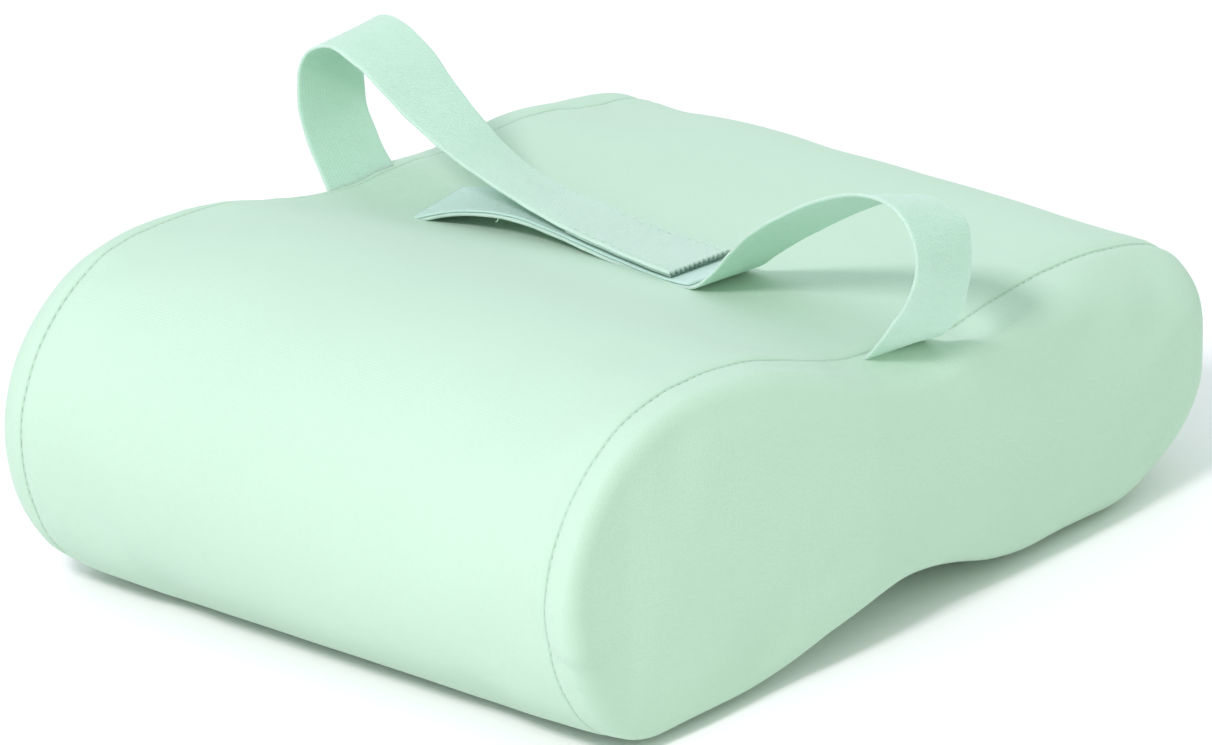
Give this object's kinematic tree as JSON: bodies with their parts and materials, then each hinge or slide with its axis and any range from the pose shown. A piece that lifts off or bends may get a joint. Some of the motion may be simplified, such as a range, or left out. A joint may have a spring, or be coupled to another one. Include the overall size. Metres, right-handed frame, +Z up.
{
  "type": "knee separator cushion",
  "caption": "Hourglass foam cushion worn between the knees, in a zipped fabric cover, with a webbing strap that closes by hook and loop over the upper valley.",
  "frame": {"origin": "on the floor, at the middle of the object's box", "axes": "+X along the valleys towards the near end, +Y from the tall front lobe to the low back lobe, +Z up"},
  "size_m": [0.205, 0.2598, 0.1174],
  "materials": {
    "foam": "matt open-cell foam",
    "cover_fabric": "matt pale mint jersey",
    "seam_thread": "matt thread",
    "webbing": "matt woven webbing",
    "hook_tape": "stiff hook tape",
    "loop_tape": "brushed loop pile",
    "zip_tape": "matt woven tape",
    "zip_teeth": "satin moulded",
    "zip_metal": "satin"
  },
  "bodies": {
    "cushion": {"foam_core": "foam", "cover_wrap": "cover_fabric", "cover_end_near": "cover_fabric", "cover_end_far": "cover_fabric", "seam_near": "seam_thread", "seam_far": "seam_thread", "zipper_tape_upper": "zip_tape", "zipper_tape_lower": "zip_tape", "zipper_teeth_upper": "zip_teeth", "zipper_teeth_lower": "zip_teeth", "zipper_top_stop_upper": "zip_metal", "zipper_top_stop_lower": "zip_metal", "zipper_bottom_stop": "zip_metal"},
    "left_strap": {"strap_left": "webbing", "hook_tape": "hook_tape"},
    "right_strap": {"strap_right": "webbing", "loop_tape": "loop_tape"},
    "slider": {"zipper_slider": "zip_metal"},
    "pull": {"zipper_pull": "zip_metal"}
  },
  "joints": [
    {"name": "strap_left_opens", "type": "hinge", "parent": "cushion", "child": "left_strap", "pos_m": [-0.0897, 0.0051, 0.0704], "axis": [0, -1, 0], "range_deg": [0, 70]},
    {"name": "strap_right_opens", "type": "hinge", "parent": "cushion", "child": "right_strap", "pos_m": [0.0847, 0.0051, 0.0704], "axis": [0, 1, 0], "range_deg": [0, 21]},
    {"name": "zip_opens", "type": "slide", "parent": "cushion", "child": "slider", "axis": [-1, 0, 0], "range_m": [0, 0.142], "deforming": ["zipper_teeth_upper", "zipper_teeth_lower"]},
    {"name": "zip_pull_turns", "type": "hinge", "parent": "slider", "child": "pull", "pos_m": [0.0685, 0.128, 0.0355], "axis": [0, 0, -1], "range_deg": [0, 170]}
  ],
  "couplings": [
    {"joint": "strap_right_opens", "follows": "strap_left_opens", "ratio": 0.3}
  ]
}
